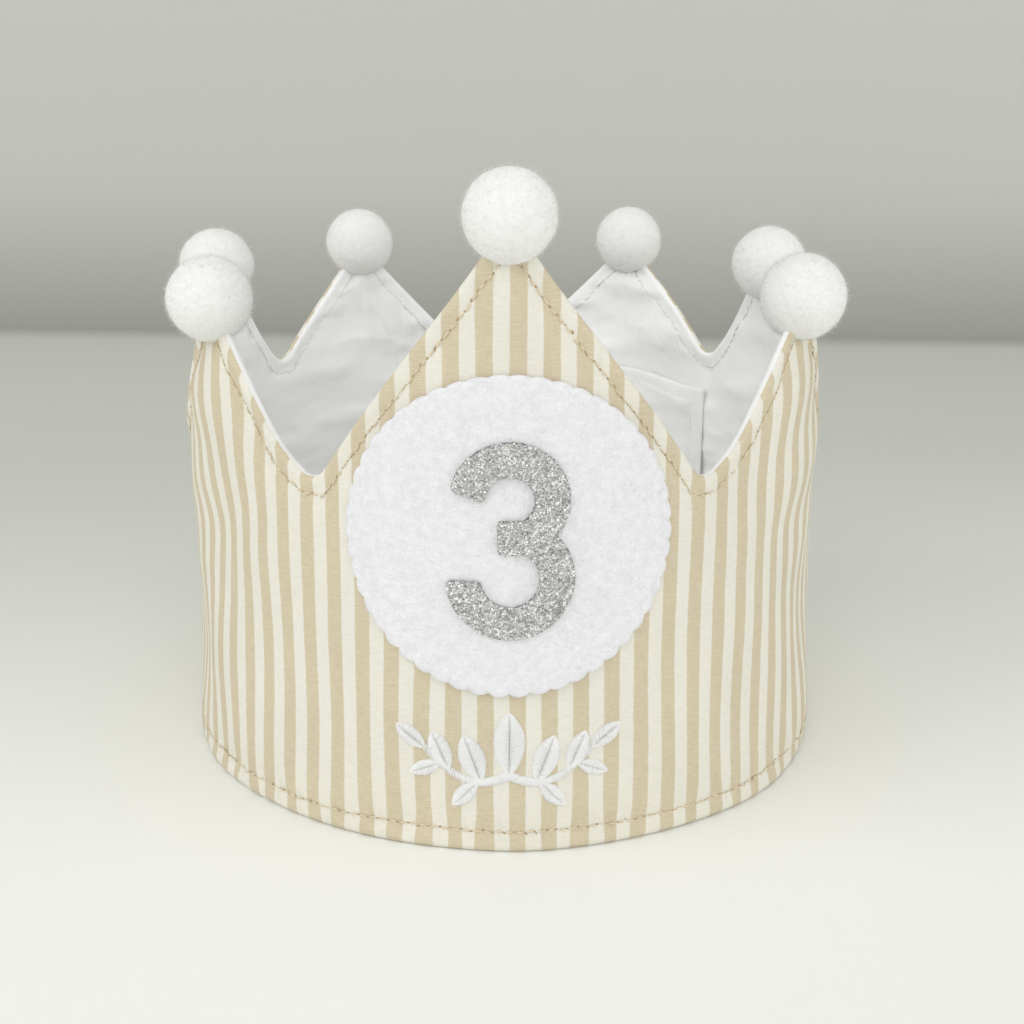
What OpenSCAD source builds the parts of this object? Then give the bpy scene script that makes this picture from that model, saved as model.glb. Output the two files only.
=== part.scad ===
// A sewn birthday crown: a padded cloth band bent into a ring, cut into seven points.
// The origin is on the ring's axis at the base. The front looks towards -Y, and +Z is up.
// A turn is an angle round the axis, from the front towards +X.

/* [Wall] */
// Outer radius of the wall
crown_r = 86; // [65:1:110]
// Thickness of the padded wall
wall_t = 4; // [2.4:0.1:8]
// Thickness of each cloth layer
cloth_t = 0.6; // [0.3:0.1:1]
// Height of the wall at the valleys between the points
valley_h = 91; // [60:1:130]
// Radius of the rounded valleys
valley_r = 5; // [3:0.5:14]

/* [Points] */
// Width of the front point along the wall
front_w = 100; // [60:1:140]
// Rise of the front point above the valleys
front_rise = 61; // [30:1:90]
// Rise of the two points beside the front one
side_rise = 37; // [25:1:80]
// Rise of the two points behind those
back_rise = 35; // [25:1:80]
// Rise of the two points beside the closure
rear_rise = 34; // [25:1:80]

/* [Closure] */
// Turn of the closure, nearly opposite the front
closure_turn = 183; // [170:1:190]
// Width of the plain wall between the points at the closure
closure_w = 20; // [10:1:40]
// Gap between the two ends of the band
end_gap = 1; // [0.4:0.1:4]
// Length of the flap past the end that it closes
flap_l = 81; // [40:1:100]
// Length of the flap's root, sewn to the other end
flap_root_l = 14; // [8:1:30]
// Thickness of the flap
flap_t = 1.4; // [0.6:0.1:3]
// Drop of the flap's upper edge below the valleys
flap_drop = 9; // [2:0.5:20]
// Height of the flap's lower edge above the base
flap_lift = 8; // [2:0.5:20]
// Width of the hook and loop tapes
tape_w = 25; // [12:1:40]
// Thickness of each tape
tape_t = 1.2; // [0.6:0.1:2.5]
// Margin of the tapes inside the flap's free length, at both ends
tape_margin = 9; // [4:0.5:15]

/* [Felt disc] */
// Radius of the disc to the tips of its scallops
disc_r = 38.5; // [25:0.5:42]
// Thickness of the felt
felt_t = 2; // [1:0.1:4]
// Drop of the disc's centre below the valleys
disc_drop = 11.5; // [0:0.5:30]
// Number of scallops round the edge
scallop_count = 50; // [24:1:64]
// Radius of each scallop
scallop_r = 4; // [3:0.1:6]

/* [Numeral] */
// Width of the numeral's stroke
stroke_w = 7.8; // [4:0.1:9]
// Inner radius of the upper bowl
upper_bowl_r = 5.7; // [3:0.1:7]
// Inner radius of the lower bowl
lower_bowl_r = 6.9; // [3:0.1:9]
// Overlap of the two bowls at the middle bar
bowl_lap = 1.7; // [0:0.1:3]
// Reach of the middle bar to the left of the bowls' centres
bar_l = 2.7; // [1:0.1:5]
// Rise of the upper stroke's cut end above its bowl's centre
upper_cut = 1; // [-2:0.1:4]
// Slant of the upper stroke's cut end
cut_slant = 20; // [0:1:30]
// Drop of the lower stroke's cut end below its bowl's centre
lower_cut = 0.6; // [-2:0.1:4]
// Rounding of the strokes' corners
corner_r = 1.1; // [0.5:0.1:2]
// Thickness of the glitter sheet
glitter_t = 1; // [0.4:0.1:2]
// Shift of the numeral to the right of the disc's centre
numeral_shift = 0.2; // [-3:0.1:3]

/* [Pompoms] */
// Radius of each pompom
pompom_r = 10.5; // [7:0.5:14]
// Lean of each pompom in towards the axis, from the front point round to the right
pompom_lean = [0, -1.5, 6, -3, -1.5, 0.5, -2.5]; // [-4:0.5:6]

/* [Hidden] */
$fn = 96;

// Room by which a cutting shape runs past what it cuts
spare = 5;
// Depth by which a valley's rounding bites into the straight edges
edge_bite = 0.1;
points_each_side = 3;

inner_r = crown_r - wall_t;
mid_r = crown_r - wall_t / 2;
tip_h = valley_h + max(front_rise, side_rise, back_rise, rear_rise);
blank_h = tip_h + spare;
cut_h = blank_h + spare;

// Turn that a width along the outer wall takes up
function turn_of(width) = width / crown_r * 180 / PI;

front_half = turn_of(front_w) / 2;
closure_half = turn_of(closure_w) / 2;
right_step = (closure_turn - closure_half - front_half) / points_each_side;
left_step = (360 - closure_turn - closure_half - front_half) / points_each_side;

function right_tip(count) = front_half + (count - 0.5) * right_step;
function left_tip(count) = 360 - front_half - (count - 0.5) * left_step;
function right_valley(count) = front_half + (count - 1) * right_step;
function left_valley(count) = 360 - front_half - (count - 1) * left_step;

// Each point's turn and rise, from the front one round to the right
tips = [
    [0, front_rise],
    [right_tip(1), side_rise],
    [right_tip(2), back_rise],
    [right_tip(3), rear_rise],
    [left_tip(3), rear_rise],
    [left_tip(2), back_rise],
    [left_tip(1), side_rise]
];

// The turn of the valley after each point, and half the width of its flat floor
valleys = [
    [right_valley(1), 0],
    [right_valley(2), 0],
    [right_valley(3), 0],
    [closure_turn, crown_r * sin(closure_half)],
    [left_valley(3), 0],
    [left_valley(2), 0],
    [left_valley(1), 0]
];

// Sideways distance from a valley's turn to a tip's turn, across the wall
function run_to(valley, tip) = abs(crown_r * sin(tip[0] - valley[0])) - valley[1];

// Distance from a valley's rounding centre to the line of a point's edge, which crosses the rounding
edge_r = valley_r - edge_bite;

// Direction from a valley's rounding centre to the foot of a point's edge
function foot_angle(run, rise) =
    atan2(rise - valley_r, run) - acos(edge_r / norm([run, rise - valley_r]));

// A tube round the axis, from one radius and height to another
module tube(from_r, to_r, from_h, to_h) {
    rotate_extrude()
        translate([from_r, from_h])
            square([to_r - from_r, to_h - from_h]);
}

// A strip of tube that starts at a turn and goes on by a width along the wall
module strip(start_turn, width, from_r, to_r, from_h, to_h) {
    rotate([0, 0, start_turn - 90])
        rotate_extrude(angle = turn_of(width))
            translate([from_r, from_h])
                square([to_r - from_r, to_h - from_h]);
}

// An upright outline pushed out from the axis through the wall at a turn
module through_wall(turn) {
    rotate([0, 0, turn])
        rotate([90, 0, 0])
            linear_extrude(crown_r + felt_t + glitter_t + spare)
                children();
}

// One side of a valley's outline: the rounding, and the straight edge up past the tip
module valley_side(run, rise, grow) {
    centre_h = valley_h + valley_r;
    angle = foot_angle(run, rise);
    foot = [0, centre_h] + (edge_r + grow) * [cos(angle), sin(angle)];
    edge_l = (cut_h - foot[1]) / cos(angle);
    top = foot + edge_l * [-sin(angle), cos(angle)];
    polygon([[0, centre_h], foot, top, [0, cut_h]]);
    translate([0, centre_h])
        circle(valley_r + grow);
}

// The cut between a point and the next one, grown by an even margin
module valley_cut(index, grow) {
    valley = valleys[index];
    tip_before = tips[index];
    tip_after = tips[(index + 1) % len(tips)];
    floor_half = valley[1];
    through_wall(valley[0]) {
        translate([floor_half, 0])
            valley_side(run_to(valley, tip_after), tip_after[1], grow);
        mirror([1, 0])
            translate([floor_half, 0])
                valley_side(run_to(valley, tip_before), tip_before[1], grow);
        if (floor_half > 0)
            translate([-floor_half, valley_h - grow])
                square([2 * floor_half, cut_h - valley_h + grow]);
    }
}

// The slit between the two ends of the band
module end_slit(width) {
    through_wall(closure_turn)
        translate([-width / 2, -spare])
            square([width, cut_h + spare]);
}

// A tube with its first valleys cut, one after the other
module pointed_tube(from_r, to_r, margin, cut_count) {
    if (cut_count == 0)
        tube(from_r, to_r, margin, blank_h);
    else
        difference() {
            pointed_tube(from_r, to_r, margin, cut_count - 1);
            valley_cut(cut_count - 1, margin);
        }
}

// The pointed band between two radii, drawn in by an even margin at all its edges
module band(from_r, to_r, margin) {
    difference() {
        pointed_tube(from_r, to_r, margin, len(valleys));
        end_slit(end_gap + 2 * margin);
    }
}

module padding() {
    band(inner_r + cloth_t, crown_r - cloth_t, cloth_t);
}

module outer_cover() {
    color("tan")
        difference() {
            band(mid_r, crown_r, 0);
            padding();
        }
}

module interlining() {
    color("gainsboro")
        padding();
}

module lining() {
    color("white")
        difference() {
            band(inner_r, mid_r, 0);
            padding();
        }
}

flap_h = valley_h - flap_drop;
flap_outer_r = inner_r - 2 * tape_t;
flap_inner_r = flap_outer_r - flap_t;
flap_end_turn = closure_turn - turn_of(flap_l);
tape_l = flap_l - 2 * tape_margin;
tape_turn = flap_end_turn + turn_of(tape_margin);
tape_h = (flap_lift + flap_h - tape_w) / 2;

// The flap lies over the tapes, steps out past the slit and is sewn to the other end
module closure_flap() {
    color("whitesmoke") {
        strip(flap_end_turn, flap_l + end_gap + flap_t, flap_inner_r, flap_outer_r, flap_lift, flap_h);
        strip(closure_turn + turn_of(end_gap), flap_t, flap_inner_r, inner_r, flap_lift, flap_h);
        strip(closure_turn + turn_of(end_gap), flap_root_l, inner_r - flap_t, inner_r, flap_lift, flap_h);
    }
}

module loop_tape() {
    color("snow")
        strip(tape_turn, tape_l, inner_r - tape_t, inner_r, tape_h, tape_h + tape_w);
}

module hook_tape() {
    color("ivory")
        strip(tape_turn, tape_l, flap_outer_r, inner_r - tape_t, tape_h, tape_h + tape_w);
}

disc_h = valley_h - disc_drop;

// A point of the disc's flat pattern, at an angle and a distance from its centre, as seen from the front
function disc_point(angle, distance) =
    [crown_r * sin(turn_of(distance * cos(angle))), disc_h + distance * sin(angle)];

module scalloped_outline() {
    centres = [for (index = [0 : scallop_count - 1])
        disc_point(index * 360 / scallop_count, disc_r - scallop_r)];
    polygon(centres);
    for (centre = centres)
        translate(centre)
            circle(scallop_r, $fn = 32);
}

module felt_disc() {
    color("white")
        intersection() {
            tube(crown_r, crown_r + felt_t, 0, tip_h);
            through_wall(0)
                scalloped_outline();
        }
}

// The two bowls overlap in the middle bar, which lies between their openings
bowl_step = upper_bowl_r + stroke_w + lower_bowl_r - bowl_lap;
numeral_h = upper_bowl_r + bowl_step + lower_bowl_r + 2 * stroke_w;
lower_h = disc_h - numeral_h / 2 + lower_bowl_r + stroke_w;
upper_h = lower_h + bowl_step;
bar_low = (lower_h + lower_bowl_r + upper_h - upper_bowl_r - stroke_w) / 2;
bar_top = bar_low + stroke_w;
open_w = lower_bowl_r + stroke_w + spare;

// A round stroke, kept between two heights
module bowl(height, radius, from_h, to_h) {
    intersection() {
        translate([0, height])
            difference() {
                circle(radius + stroke_w, $fn = 64);
                circle(radius, $fn = 64);
            }
        translate([-open_w, from_h])
            square([2 * open_w, to_h - from_h]);
    }
}

// Height of the upper stroke's cut end at a distance to the left of the bowls' centres
function cut_at(distance) =
    upper_h + upper_cut + (distance - upper_bowl_r - stroke_w / 2) * tan(cut_slant);

// The space between the bowls' cut ends, to the left of the middle bar
module opening() {
    polygon([
        [-open_w, lower_h - lower_cut],
        [-bar_l, lower_h - lower_cut],
        [-bar_l, cut_at(bar_l)],
        [-open_w, cut_at(open_w)]
    ]);
}

// A figure three with soft corners: two bowls that meet in a middle bar
module three_outline() {
    offset(r = corner_r, $fn = 24)
        offset(delta = -corner_r) {
            difference() {
                union() {
                    bowl(upper_h, upper_bowl_r, bar_low, upper_h + open_w);
                    bowl(lower_h, lower_bowl_r, lower_h - open_w, bar_top);
                }
                opening();
            }
            translate([-bar_l, bar_low])
                square([bar_l + upper_bowl_r, stroke_w]);
        }
}

module numeral() {
    color("silver")
        intersection() {
            tube(crown_r + felt_t, crown_r + felt_t + glitter_t, 0, tip_h);
            through_wall(0)
                translate([numeral_shift, 0])
                    three_outline();
        }
}

// A ball of yarn that a point's tip is sewn into
module pompom(index) {
    tip = tips[index];
    last = len(valleys) - 1;
    color("white")
        difference() {
            rotate([0, 0, tip[0]])
                translate([0, pompom_lean[index] - mid_r, valley_h + tip[1]])
                    sphere(pompom_r);
            difference() {
                tube(inner_r, crown_r, 0, blank_h);
                valley_cut(index, 0);
                valley_cut(index > 0 ? index - 1 : last, 0);
            }
        }
}

outer_cover();
interlining();
lining();
closure_flap();
loop_tape();
hook_tape();
felt_disc();
numeral();
pompom(0);  // pompom_front
pompom(1);  // pompom_front_right
pompom(2);  // pompom_side_right
pompom(3);  // pompom_back_right
pompom(4);  // pompom_back_left
pompom(5);  // pompom_side_left
pompom(6);  // pompom_front_left
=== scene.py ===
# %% [markdown]
# # A sewn birthday crown
# This lesson dresses the CAD model of a child's fabric crown. The real one is a padded band with
# seven points. It has a pompom on each point, a felt disc with a glitter numeral at the front,
# a line of white embroidery below the disc, and a hook-and-loop closure at the back.
# The CAD frame gives the places and sizes. Blender adds what needle, thread and soft cloth do to
# plain solids: rolled edges, stitched grooves, puckers, woven stripes and fuzz.

# %% Load the CAD frame
import math

import bmesh
import bpy
import numpy as np
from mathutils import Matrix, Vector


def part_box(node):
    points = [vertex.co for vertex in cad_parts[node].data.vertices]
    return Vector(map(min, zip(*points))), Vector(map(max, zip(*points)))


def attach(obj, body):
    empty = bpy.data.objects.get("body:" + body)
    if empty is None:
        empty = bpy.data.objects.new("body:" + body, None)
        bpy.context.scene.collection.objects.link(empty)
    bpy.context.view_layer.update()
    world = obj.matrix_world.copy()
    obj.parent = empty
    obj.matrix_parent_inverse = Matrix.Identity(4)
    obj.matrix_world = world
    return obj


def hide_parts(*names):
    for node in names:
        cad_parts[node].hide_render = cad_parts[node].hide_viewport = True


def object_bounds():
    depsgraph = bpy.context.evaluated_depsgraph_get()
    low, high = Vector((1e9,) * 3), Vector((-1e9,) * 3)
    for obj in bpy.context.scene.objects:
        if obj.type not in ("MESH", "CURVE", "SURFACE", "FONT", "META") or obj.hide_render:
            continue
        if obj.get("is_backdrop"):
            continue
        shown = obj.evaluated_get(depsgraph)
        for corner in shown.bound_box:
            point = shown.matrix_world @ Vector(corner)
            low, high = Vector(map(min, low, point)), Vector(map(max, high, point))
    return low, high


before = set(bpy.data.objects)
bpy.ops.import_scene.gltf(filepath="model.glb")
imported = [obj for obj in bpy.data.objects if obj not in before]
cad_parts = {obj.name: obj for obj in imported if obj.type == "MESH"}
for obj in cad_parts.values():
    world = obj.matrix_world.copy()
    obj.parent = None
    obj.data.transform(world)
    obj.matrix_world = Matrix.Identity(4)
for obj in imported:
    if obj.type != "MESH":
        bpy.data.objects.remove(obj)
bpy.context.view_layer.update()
MM = 0.001

# %% [markdown]
# ## The band as a flat pattern
# A maker cuts the band flat, as a long strip with seven points, and closes it at the centre back.
# The lesson works in that flat pattern too: a turn round the crown, counted from the front, and
# a height above the base. The turn and height of each tip are read from the pompoms, and the
# valleys lie between the tips, so the cloth follows the CAD band wherever that is moved.

# %% Read the band from the frame
POMPOMS = [
    "pompom_front",
    "pompom_front_right",
    "pompom_side_right",
    "pompom_back_right",
    "pompom_back_left",
    "pompom_side_left",
    "pompom_front_left",
]
VALLEY_H = 91 * MM
VALLEY_R = 5 * MM
VALLEY_LIFTS = np.array([-0.8, 0, 2.0, 0, 1.4, 0, -0.8]) * MM
VALLEY_SHIFTS = np.radians([0, 0, 1.4, 0, 0, 0, 0])
END_GAP = 1 * MM


def half_width(node):
    """Half of a CAD node's width from left to right."""
    low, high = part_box(node)
    return (high.x - low.x) / 2


CROWN_R = half_width("outer_cover")
MID_R = half_width("lining")
HALF_WALL = CROWN_R - MID_R
POMPOM_R = half_width("pompom_front")

pompom_centres = []
for name in POMPOMS:
    low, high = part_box(name)
    centre = (low + high) / 2
    pompom_centres.append(np.array([centre.x, centre.y, high.z - POMPOM_R]))
tip_turns = np.array([math.atan2(c[0], -c[1]) % math.tau for c in pompom_centres])
tip_turns[0] = 0
tip_heights = np.array([c[2] for c in pompom_centres])
tip_leans = np.array([MID_R - math.hypot(c[0], c[1]) for c in pompom_centres])
print("tips at", np.degrees(tip_turns).round(1), "degrees, leaning in by mm", (tip_leans / MM).round(1))

# %% Place the valleys between the tips
right_step = tip_turns[2] - tip_turns[1]
left_step = tip_turns[6] - tip_turns[5]
front_half = tip_turns[1] - right_step / 2
closure_start = front_half + 3 * right_step
closure_end = math.tau - front_half - 3 * left_step
closure_turn = (closure_start + closure_end) / 2
valley_turns = np.array([
    front_half,
    front_half + right_step,
    front_half + 2 * right_step,
    closure_turn,
    math.tau - front_half - 2 * left_step,
    math.tau - front_half - left_step,
    math.tau - front_half,
])
valley_turns = valley_turns + VALLEY_SHIFTS
valley_heights = VALLEY_H + VALLEY_LIFTS
floor_halves = np.zeros(len(valley_turns))
floor_halves[3] = CROWN_R * math.sin((closure_end - closure_start) / 2)
FIRST_TURN = closure_turn - math.tau + END_GAP / 2 / CROWN_R
LAST_TURN = closure_turn - END_GAP / 2 / CROWN_R
print("valleys at", np.degrees(valley_turns).round(1))

# %% [markdown]
# ### The top edge
# Between a valley and a tip the edge is a straight side that runs into a round valley floor. It
# could be traced point by point, but one formula serves all fourteen sides, and later steps ask it
# for the edge at any turn. `stretch` says how much longer the sloping edge is than its plain
# width, which turns a distance square to the edge into a height. Turning the sewn band right side
# out leaves them a little uneven: some sides are hollow near the tip, some are full there, and
# the sides of the two front points sag towards the valley.

# %% Work out the top edge
TABLE_COUNT = 4001
HOLLOWS = np.array([2.2, -1.8, -3.6, 0.8, 0.8, -3.4, -1.8]) * MM
SAGS = np.array([0, 3.0, 0, 0, 0, 0, 3.0]) * MM


def edge_height(turn):
    """Height of the band's top edge at each turn."""
    turn = np.mod(turn, math.tau)
    index = np.clip(np.searchsorted(tip_turns, turn, side="right") - 1, 0, len(valley_turns) - 1)
    past = turn > valley_turns[index]
    tip = np.where(past, (index + 1) % len(tip_turns), index)
    tip_turn = np.where((tip == 0) & past, math.tau, tip_turns[tip])
    run = CROWN_R * np.abs(np.sin(tip_turn - valley_turns[index])) - floor_halves[index]
    rise = tip_heights[tip] - valley_heights[index] - VALLEY_R
    angle = np.arctan2(rise, run) - np.arccos(VALLEY_R / np.hypot(run, rise))
    foot_x = VALLEY_R * np.cos(angle)
    foot_h = VALLEY_R + VALLEY_R * np.sin(angle)
    x = CROWN_R * np.abs(np.sin(turn - valley_turns[index])) - floor_halves[index]
    rounded = VALLEY_R - np.sqrt(np.maximum(VALLEY_R**2 - np.clip(x, 0, VALLEY_R) ** 2, 0))
    straight = foot_h - (x - foot_x) / np.tan(angle)
    share = np.clip((x - foot_x) / (run - foot_x), 0, 1)
    hollow = 6.75 * share * (1 - share) * (HOLLOWS[tip] * share + SAGS[tip] * (1 - share))
    return valley_heights[index] + np.where(x < foot_x, rounded, straight - hollow)


table_turns = np.linspace(FIRST_TURN, LAST_TURN, TABLE_COUNT)
table_heights = edge_height(table_turns)
table_slopes = np.gradient(table_heights, table_turns * CROWN_R)
SMOOTHING = np.ones(31) / 31
table_stretch = np.convolve(
    np.pad(np.sqrt(1 + table_slopes**2), 15, mode="edge"), SMOOTHING, mode="valid"
)


def edge_at(turn):
    """Height of the top edge, looked up."""
    return np.interp(turn, table_turns, table_heights)


def stretch_at(turn):
    """How much longer the sloping edge is than its plain width."""
    return np.interp(turn, table_turns, table_stretch)


print("top edge from", round(table_heights.min() / MM, 1), "to", round(table_heights.max() / MM, 1), "mm")

# %% [markdown]
# ## The section through the padded wall
# Two cloths are sewn together right sides in, turned, padded and topstitched. So each edge is
# a soft roll, the topstitching pulls both cloths into a groove, and behind it the padding swells
# to the full wall. A cloth simulation could find this section, but the seam, the groove and the
# swell are known sizes here, so a formula gives them exactly and in the same way each run.

# %% Describe the section
TOP_STITCH = 4.0 * MM
BASE_STITCH = 5.6 * MM
EDGE_ROLL = 1.3 * MM
BEAD = 1.5 * MM
OUTER_GROOVE = 1.25 * MM
INNER_GROOVE = 1.22 * MM
SWELL_REACH = 3.2 * MM


def smooth(value):
    """An S-shaped step from 0 to 1."""
    value = np.clip(value, 0, 1)
    return value * value * (3 - 2 * value)


def edge_distance(turn, height):
    """Distance from the nearest sewn edge, counted so that every topstitch lies at TOP_STITCH."""
    top = (edge_at(turn) - height) / stretch_at(turn)
    lower = np.minimum(height, np.minimum(turn - FIRST_TURN, LAST_TURN - turn) * CROWN_R)
    return np.maximum(np.minimum(top, lower * TOP_STITCH / BASE_STITCH), 0)


def half_section(distance, side):
    """Half of the wall's thickness at a distance from its edge, outside (1) or inside (-1)."""
    groove = np.where(np.asarray(side) > 0, OUTER_GROOVE, INNER_GROOVE)
    bead = BEAD * np.sqrt(1 - (1 - np.clip(distance / EDGE_ROLL, 0, 1)) ** 2)
    into = smooth((distance - EDGE_ROLL) / (TOP_STITCH - EDGE_ROLL))
    swell = 1 - np.exp(-np.maximum(distance - TOP_STITCH, 0) / SWELL_REACH)
    return bead + (groove - BEAD) * into + (HALF_WALL - groove) * swell


print("wall is", round(2 * HALF_WALL / MM, 1), "mm thick, grooved at the stitching")

# %% [markdown]
# ### Soft unevenness
# Hand-sewn cloth is never a perfect cylinder. The base flares out, the points lean in or out, the
# wall undulates and bulges here and there, loose cloth ripples at the sides, stitches gather it into
# small puckers, and the white lining creases sideways, most of all in the rear points. Brushes could
# sculpt all this by hand. Here each is a formula or a short sum of seeded sine waves over the flat
# pattern, which is smooth, quick and repeatable.

# %% Draw seeded waves
def soft_waves(seed, count, along, up):
    """A function of the flat pattern that swings between about -1 and 1, with these wavelengths."""
    rng = np.random.default_rng(seed)
    along_rates = rng.choice([-1, 1], count) / (along * rng.uniform(0.6, 1.6, count))
    up_rates = 1 / (up * rng.uniform(0.6, 1.6, count))
    phases = rng.uniform(0, math.tau, count)

    def swing(s, h):
        total = 0
        for a, u, p in zip(along_rates, up_rates, phases):
            total = total + np.sin(math.tau * (a * s + u * h) + p)
        return total / math.sqrt(2 * count)

    return swing


def lumpy(seed, count, size):
    """Like soft_waves, but with lumps of one size that run in no direction."""
    rng = np.random.default_rng(seed)
    ways = rng.uniform(0, math.tau, count)
    rates = math.tau / (size * rng.uniform(0.6, 1.7, count))
    phases = rng.uniform(0, math.tau, count)

    def swing(s, h):
        total = 0
        for way, rate, phase in zip(ways, rates, phases):
            total = total + np.sin(rate * (math.cos(way) * s + math.sin(way) * h) + phase)
        return total / math.sqrt(2 * count)

    return swing


body_waves = soft_waves(1, 7, 55 * MM, 70 * MM)
edge_waves = soft_waves(2, 6, 36 * MM, 900 * MM)
pucker_waves = soft_waves(3, 9, 6 * MM, 40 * MM)
drift_waves = soft_waves(4, 7, 48 * MM, 60 * MM)
jog_waves = soft_waves(7, 8, 13 * MM, 60 * MM)
ripple_waves = soft_waves(8, 6, 60 * MM, 32 * MM)
crease_waves = soft_waves(5, 9, 75 * MM, 13 * MM)
fine_waves = soft_waves(6, 9, 26 * MM, 5 * MM)
print("eight sets of waves for the cloth")

# %% Lean, flare and bulge
LEAN_FROM = 60 * MM
FLARE = 2.6 * MM
FLARE_TOP = 72 * MM
BULGES = [  # turn and height of the middle, reach in degrees and mm, amount in mm
    (-80, 92, 20, 14, 2.0),
    (80, 45, 28, 25, -1.5),
    (-63, 0, 16, 14, 1.2),
    (49, 0, 14, 12, 1.2),
    (3, 0, 9, 12, 0.7),
]
DISC_R = 38.5 * MM
disc_low, disc_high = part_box("felt_disc")
DISC_H = (disc_low.z + disc_high.z) / 2


def lean_at(turn, height):
    """How far the points lean in towards the axis."""
    total = 0
    for index in range(len(tip_turns)):
        before = tip_turns[index] - valley_turns[index - 1]
        after = valley_turns[index] - tip_turns[index]
        away = np.mod(turn - tip_turns[index] + math.pi, math.tau) - math.pi
        span = np.where(away > 0, after % math.tau, before % math.tau)
        near_tip = np.cos(np.clip(np.abs(away) / span, 0, 1) * math.pi / 2) ** 1.1
        above = np.clip((height - LEAN_FROM) / (tip_heights[index] - LEAN_FROM), 0, 1.2) ** 1.3
        total = total + tip_leans[index] * near_tip * above
    return total


def flare_at(turn, height):
    """How far the wall stands out: towards the base, less so near the closure, and in soft bulges."""
    ahead = 1 - smooth((np.abs(turn) - math.radians(95)) / math.radians(30))
    total = FLARE * ahead * np.clip(1 - height / FLARE_TOP, 0, 1) ** 1.3
    for middle, middle_h, wide, high, amount in BULGES:
        away = (np.degrees(turn) - middle) / wide
        above = (height / MM - middle_h) / high
        total = total + amount * MM * np.exp(-(away**2) - above**2)
    return total


def beside(turn):
    """0 at the front, 1 at the sides and the back."""
    return smooth((np.abs(turn) - math.radians(30)) / math.radians(25))


def outside_disc(turn, height):
    """0 under the felt disc, 1 well away from it."""
    from_disc = np.hypot(turn * CROWN_R, height - DISC_H)
    return smooth((from_disc - DISC_R) / (12 * MM))


print(len(BULGES), "soft bulges, and a flare of", FLARE / MM, "mm")

# %% Turn the flat pattern into places on the wall
BODY_SWING = 0.6 * MM
PUCKER = 0.3 * MM
DRIFT = 0.25 * MM
JOG = 0.55 * MM
HEM_JOG = 0.7 * MM
EDGE_SWING = 0.15 * MM
RIPPLE = 0.7 * MM
CREASE = 0.42 * MM
CREASE_FINE = 0.3 * MM
BACK_CREASE = 1.4  # how much deeper the creases are in the rear points
CREASE_ROOM = 0.4 * MM  # how far a crease may sink towards the padding


def around(turn, radius, height):
    """Places at a turn from the front, a radius and a height."""
    return np.stack([radius * np.sin(turn), -radius * np.cos(turn), height + 0 * turn], axis=-1)


def skin_radius(turn, height, side):
    """Radius of the cloth outside (side 1) or inside (side -1) the padded wall."""
    s = turn * CROWN_R
    distance = edge_distance(turn, height)
    free = smooth(distance / (6 * MM))
    near_stitch = np.exp(-(((distance - TOP_STITCH) / (4 * MM)) ** 2)) * smooth(distance / TOP_STITCH)
    loose = beside(turn) * smooth((height - 45 * MM) / (35 * MM))
    swing = BODY_SWING * body_waves(s, height) + RIPPLE * ripple_waves(s, height) * loose
    swing = swing * free * outside_disc(turn, height)
    swing = swing + PUCKER * pucker_waves(s * stretch_at(turn), height) * near_stitch * side
    folds = 1 - 2 * np.abs(np.sin(1.6 * crease_waves(s, height) + 0.8 * fine_waves(s, height)))
    creases = CREASE * crease_waves(s, height) + CREASE_FINE * folds
    at_back = smooth((np.abs(turn) - math.radians(115)) / math.radians(25))
    creases = creases * (1 + BACK_CREASE * at_back * smooth((height - 85 * MM) / (20 * MM)))
    swing = swing + np.minimum(creases, CREASE_ROOM) * free * (np.asarray(side) < 0)
    middle = MID_R + flare_at(turn, height) - lean_at(turn, height)
    return middle + side * half_section(distance, side) + swing


def on_skin(turn, height, side, lift=0.0):
    """Places on the cloth at turns and heights of the flat pattern, lifted off it."""
    s = turn * CROWN_R
    distance = edge_distance(turn, height)
    inner = smooth((np.minimum(turn - FIRST_TURN, LAST_TURN - turn) * CROWN_R - 1 * MM) / (5 * MM))
    from_top = (edge_at(turn) - height) / stretch_at(turn)
    jog = JOG * np.exp(-((distance / (6 * MM)) ** 2)) * smooth(from_top / TOP_STITCH)
    jog = jog + HEM_JOG * np.exp(-((height / (7 * MM)) ** 2)) * beside(turn)
    jog = jog * jog_waves(s, height)
    slide = (DRIFT * drift_waves(s, height) + jog) * inner * outside_disc(turn, height)
    radius = skin_radius(turn, height, side) + side * lift
    ripple = EDGE_SWING * edge_waves(s, 0) * smooth((height - 60 * MM) / (25 * MM))
    return around(turn + slide / CROWN_R, radius, height + ripple)


print("soft unevenness up to", BODY_SWING / MM, "mm in the wall and", CREASE / MM, "mm in the lining")

# %% [markdown]
# ## Helpers that make a mesh
# Each cloth starts as one bmesh grid. Its columns run round the band and its rows follow the
# edges: close together at the roll and the stitching, wider apart in the middle. The grid's own
# column and row numbers then pick each vertex's place. The same numbers become a UV map in
# metres, so that stripes and weave run true to the cloth.

# %% Make a grid and place it
STATIONS = np.array([0, 0.12, 0.35, 0.7, 1.1, 1.6, 2.3, 3.0, 3.6, 4.0, 4.4, 5.0, 6.0, 7.4, 9.2, 11.5]) * MM


def places_of(verts):
    """The places of vertices as an array."""
    return np.array([vert.co for vert in verts])


def flat_grid(columns, rows):
    """A bmesh grid, and the column and row number of each of its vertices."""
    bm = bmesh.new()
    bmesh.ops.create_grid(bm, x_segments=columns - 1, y_segments=rows - 1, size=0.5)
    flat = places_of(bm.verts)
    column = np.rint((flat[:, 0] + 0.5) * (columns - 1)).astype(int)
    row = np.rint((flat[:, 1] + 0.5) * (rows - 1)).astype(int)
    return bm, column, row


def place_verts(bm, places):
    """Moves the vertices of a bmesh to new places."""
    for vert, place in zip(bm.verts, places):
        vert.co = place


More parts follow.
